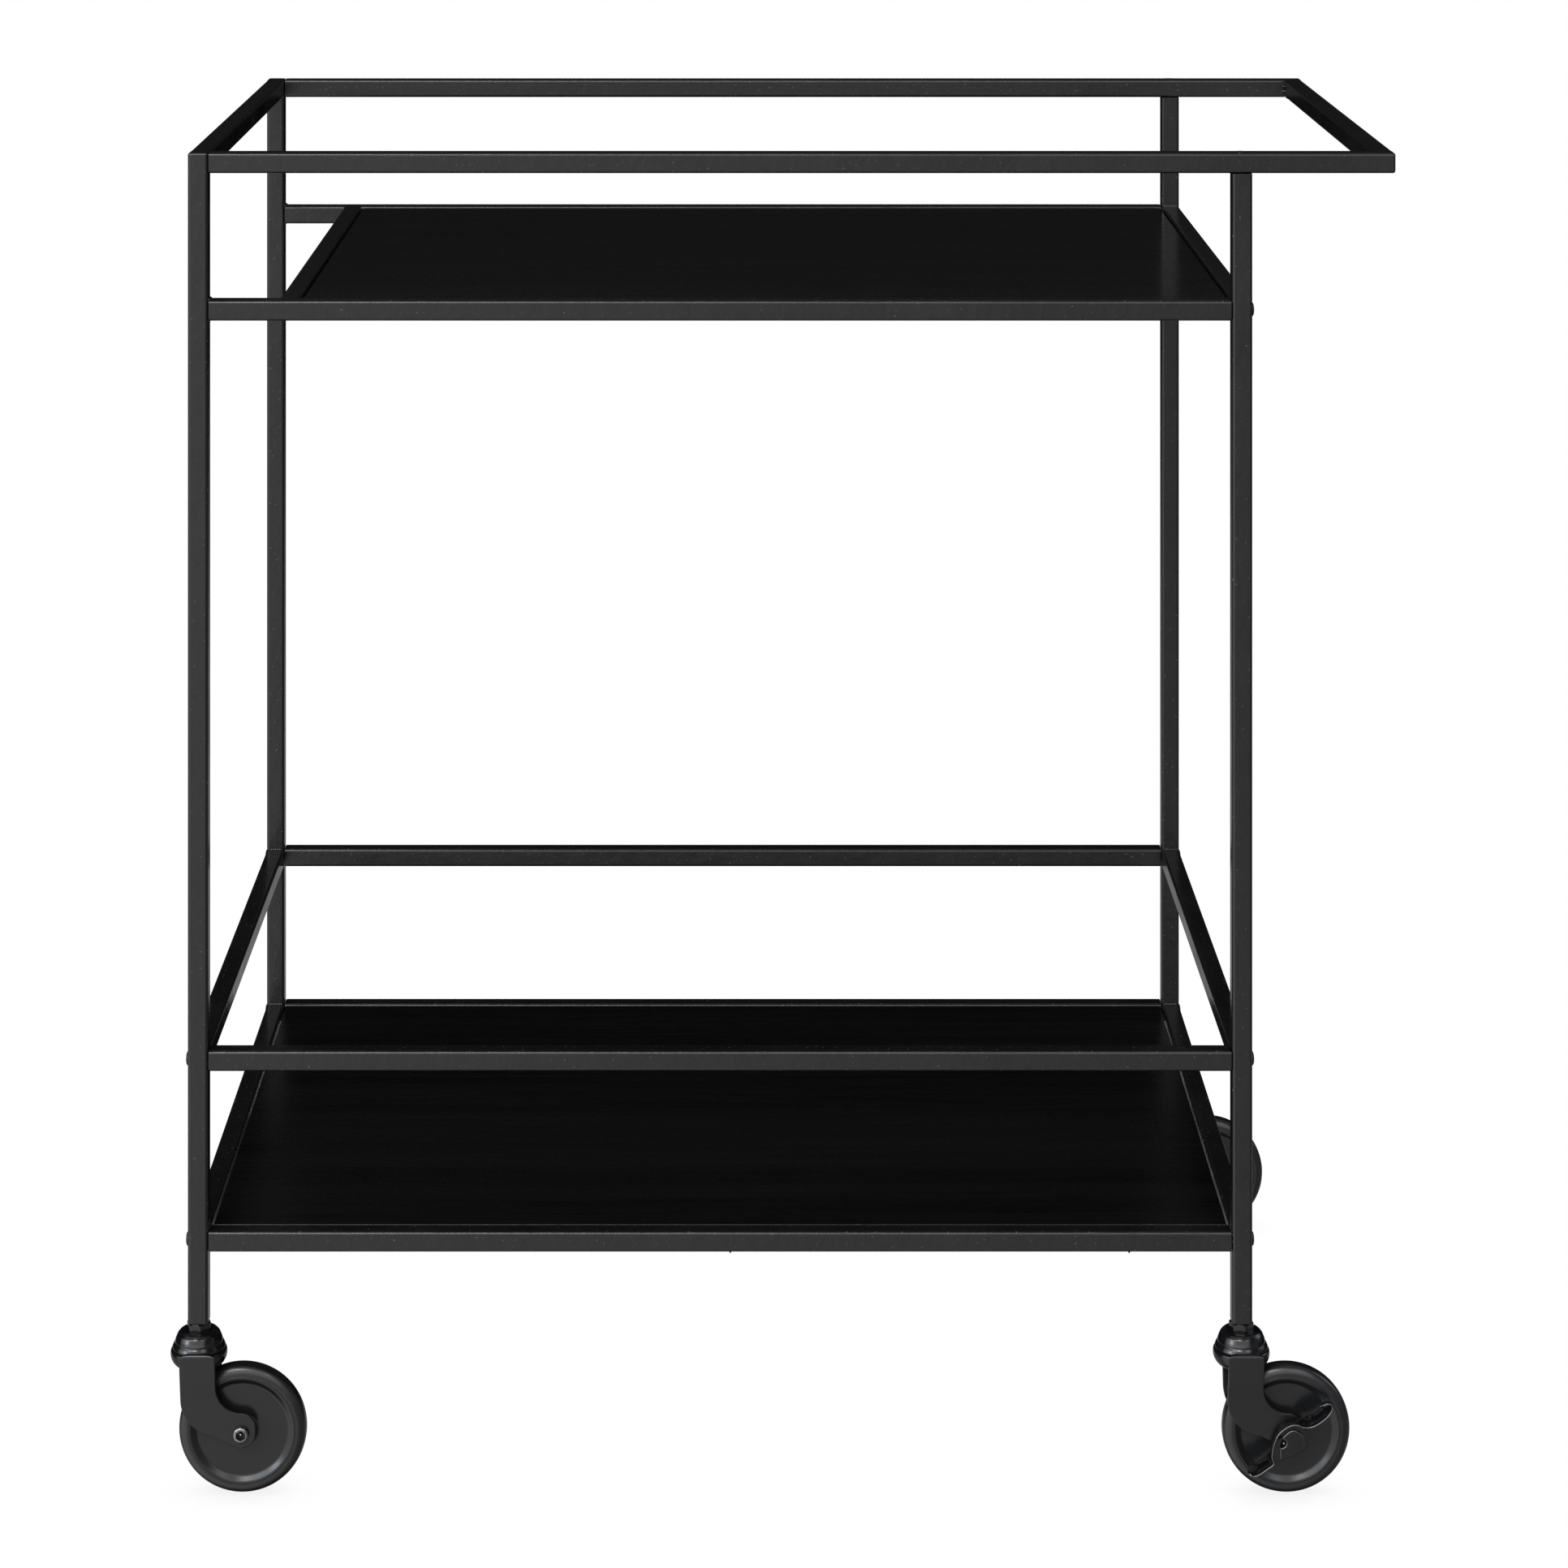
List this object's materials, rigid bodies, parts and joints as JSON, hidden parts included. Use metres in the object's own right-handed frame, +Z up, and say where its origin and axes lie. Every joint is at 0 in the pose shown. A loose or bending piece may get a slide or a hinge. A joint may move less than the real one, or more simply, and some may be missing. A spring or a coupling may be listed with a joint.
{
  "type": "serving cart",
  "caption": "Rolling shelf cart: square-tube steel frame with a top rail hoop that forms a push handle, framed wood-veneer shelves, a guard rail and swivel casters.",
  "frame": {"origin": "on the floor, under the middle of the cart's overall box", "axes": "+X towards the push handle, -Y towards the front, +Z up"},
  "size_m": [0.7198, 0.4258, 0.787],
  "materials": {
    "powder_coat": "satin black powder coat",
    "black_veneer": "black-stained oak veneer, satin lacquer",
    "caster_enamel": "gloss black enamel",
    "tyre_rubber": "matt black rubber",
    "hub_plastic": "satin black moulded plastic",
    "black_steel": "black oxide steel",
    "bright_steel": "bearing steel",
    "plug_nylon": "black nylon"
  },
  "bodies": {
    "frame": {"left_end_frame": "powder_coat", "right_end_frame": "powder_coat", "top_rail_hoop": "powder_coat", "upper_shelf_frame": "powder_coat", "guard_rail_front": "powder_coat", "guard_rail_rear": "powder_coat", "lower_shelf_rail_front": "powder_coat", "lower_shelf_rail_rear": "powder_coat", "upper_shelf_panel": "black_veneer", "lower_shelf_panel": "black_veneer", "top_rail_screw_front": "black_steel", "upper_shelf_screw_front": "black_steel", "guard_rail_screw_front_left": "black_steel", "lower_shelf_screw_front_left": "black_steel", "guard_rail_screw_front_right": "black_steel", "lower_shelf_screw_front_right": "black_steel", "top_rail_screw_rear": "black_steel", "upper_shelf_screw_rear": "black_steel", "guard_rail_screw_rear_left": "black_steel", "lower_shelf_screw_rear_left": "black_steel", "guard_rail_screw_rear_right": "black_steel", "lower_shelf_screw_rear_right": "black_steel", "leg_plug_front_left": "plug_nylon", "caster_stem_front_left": "caster_enamel", "leg_plug_front_right": "plug_nylon", "caster_stem_front_right": "caster_enamel", "leg_plug_rear_left": "plug_nylon", "caster_stem_rear_left": "caster_enamel", "leg_plug_rear_right": "plug_nylon", "caster_stem_rear_right": "caster_enamel"},
    "caster_front_left": {"caster_fork_front_left": "caster_enamel", "swivel_balls_front_left": "bright_steel", "axle_bolt_front_left": "black_steel", "axle_nut_front_left": "black_steel"},
    "wheel_front_left": {"tyre_front_left": "tyre_rubber", "wheel_hub_front_left": "hub_plastic"},
    "caster_front_right": {"caster_fork_front_right": "caster_enamel", "swivel_balls_front_right": "bright_steel", "axle_bolt_front_right": "black_steel", "axle_nut_front_right": "black_steel", "brake_cam_front_right": "caster_enamel"},
    "wheel_front_right": {"tyre_front_right": "tyre_rubber", "wheel_hub_front_right": "hub_plastic"},
    "brake_front_right": {"brake_rocker_front_right": "caster_enamel"},
    "caster_rear_left": {"caster_fork_rear_left": "caster_enamel", "swivel_balls_rear_left": "bright_steel", "axle_bolt_rear_left": "black_steel", "axle_nut_rear_left": "black_steel", "brake_cam_rear_left": "caster_enamel"},
    "wheel_rear_left": {"tyre_rear_left": "tyre_rubber", "wheel_hub_rear_left": "hub_plastic"},
    "brake_rear_left": {"brake_rocker_rear_left": "caster_enamel"},
    "caster_rear_right": {"caster_fork_rear_right": "caster_enamel", "swivel_balls_rear_right": "bright_steel", "axle_bolt_rear_right": "black_steel", "axle_nut_rear_right": "black_steel"},
    "wheel_rear_right": {"tyre_rear_right": "tyre_rubber", "wheel_hub_rear_right": "hub_plastic"}
  },
  "joints": [
    {"name": "swivel_front_left", "type": "hinge", "parent": "frame", "child": "caster_front_left", "pos_m": [-0.3431, -0.194, 0.08], "axis": [0, 0, 1], "continuous": true},
    {"name": "roll_front_left", "type": "hinge", "parent": "caster_front_left", "child": "wheel_front_left", "pos_m": [-0.3171, -0.194, 0.0375], "axis": [0, 1, 0], "continuous": true},
    {"name": "swivel_front_right", "type": "hinge", "parent": "frame", "child": "caster_front_right", "pos_m": [0.2699, -0.194, 0.08], "axis": [0, 0, 1], "continuous": true},
    {"name": "roll_front_right", "type": "hinge", "parent": "caster_front_right", "child": "wheel_front_right", "pos_m": [0.2959, -0.194, 0.0375], "axis": [0, 1, 0], "continuous": true},
    {"name": "brake_press_front_right", "type": "hinge", "parent": "caster_front_right", "child": "brake_front_right", "pos_m": [0.2959, -0.194, 0.0375], "axis": [0, 1, 0], "range_deg": [0, 18]},
    {"name": "swivel_rear_left", "type": "hinge", "parent": "frame", "child": "caster_rear_left", "pos_m": [-0.3431, 0.194, 0.08], "axis": [0, 0, 1], "continuous": true},
    {"name": "roll_rear_left", "type": "hinge", "parent": "caster_rear_left", "child": "wheel_rear_left", "pos_m": [-0.3171, 0.194, 0.0375], "axis": [0, 1, 0], "continuous": true},
    {"name": "brake_press_rear_left", "type": "hinge", "parent": "caster_rear_left", "child": "brake_rear_left", "pos_m": [-0.3171, 0.194, 0.0375], "axis": [0, 1, 0], "range_deg": [0, 18]},
    {"name": "swivel_rear_right", "type": "hinge", "parent": "frame", "child": "caster_rear_right", "pos_m": [0.2699, 0.194, 0.08], "axis": [0, 0, 1], "continuous": true},
    {"name": "roll_rear_right", "type": "hinge", "parent": "caster_rear_right", "child": "wheel_rear_right", "pos_m": [0.2959, 0.194, 0.0375], "axis": [0, 1, 0], "continuous": true}
  ]
}
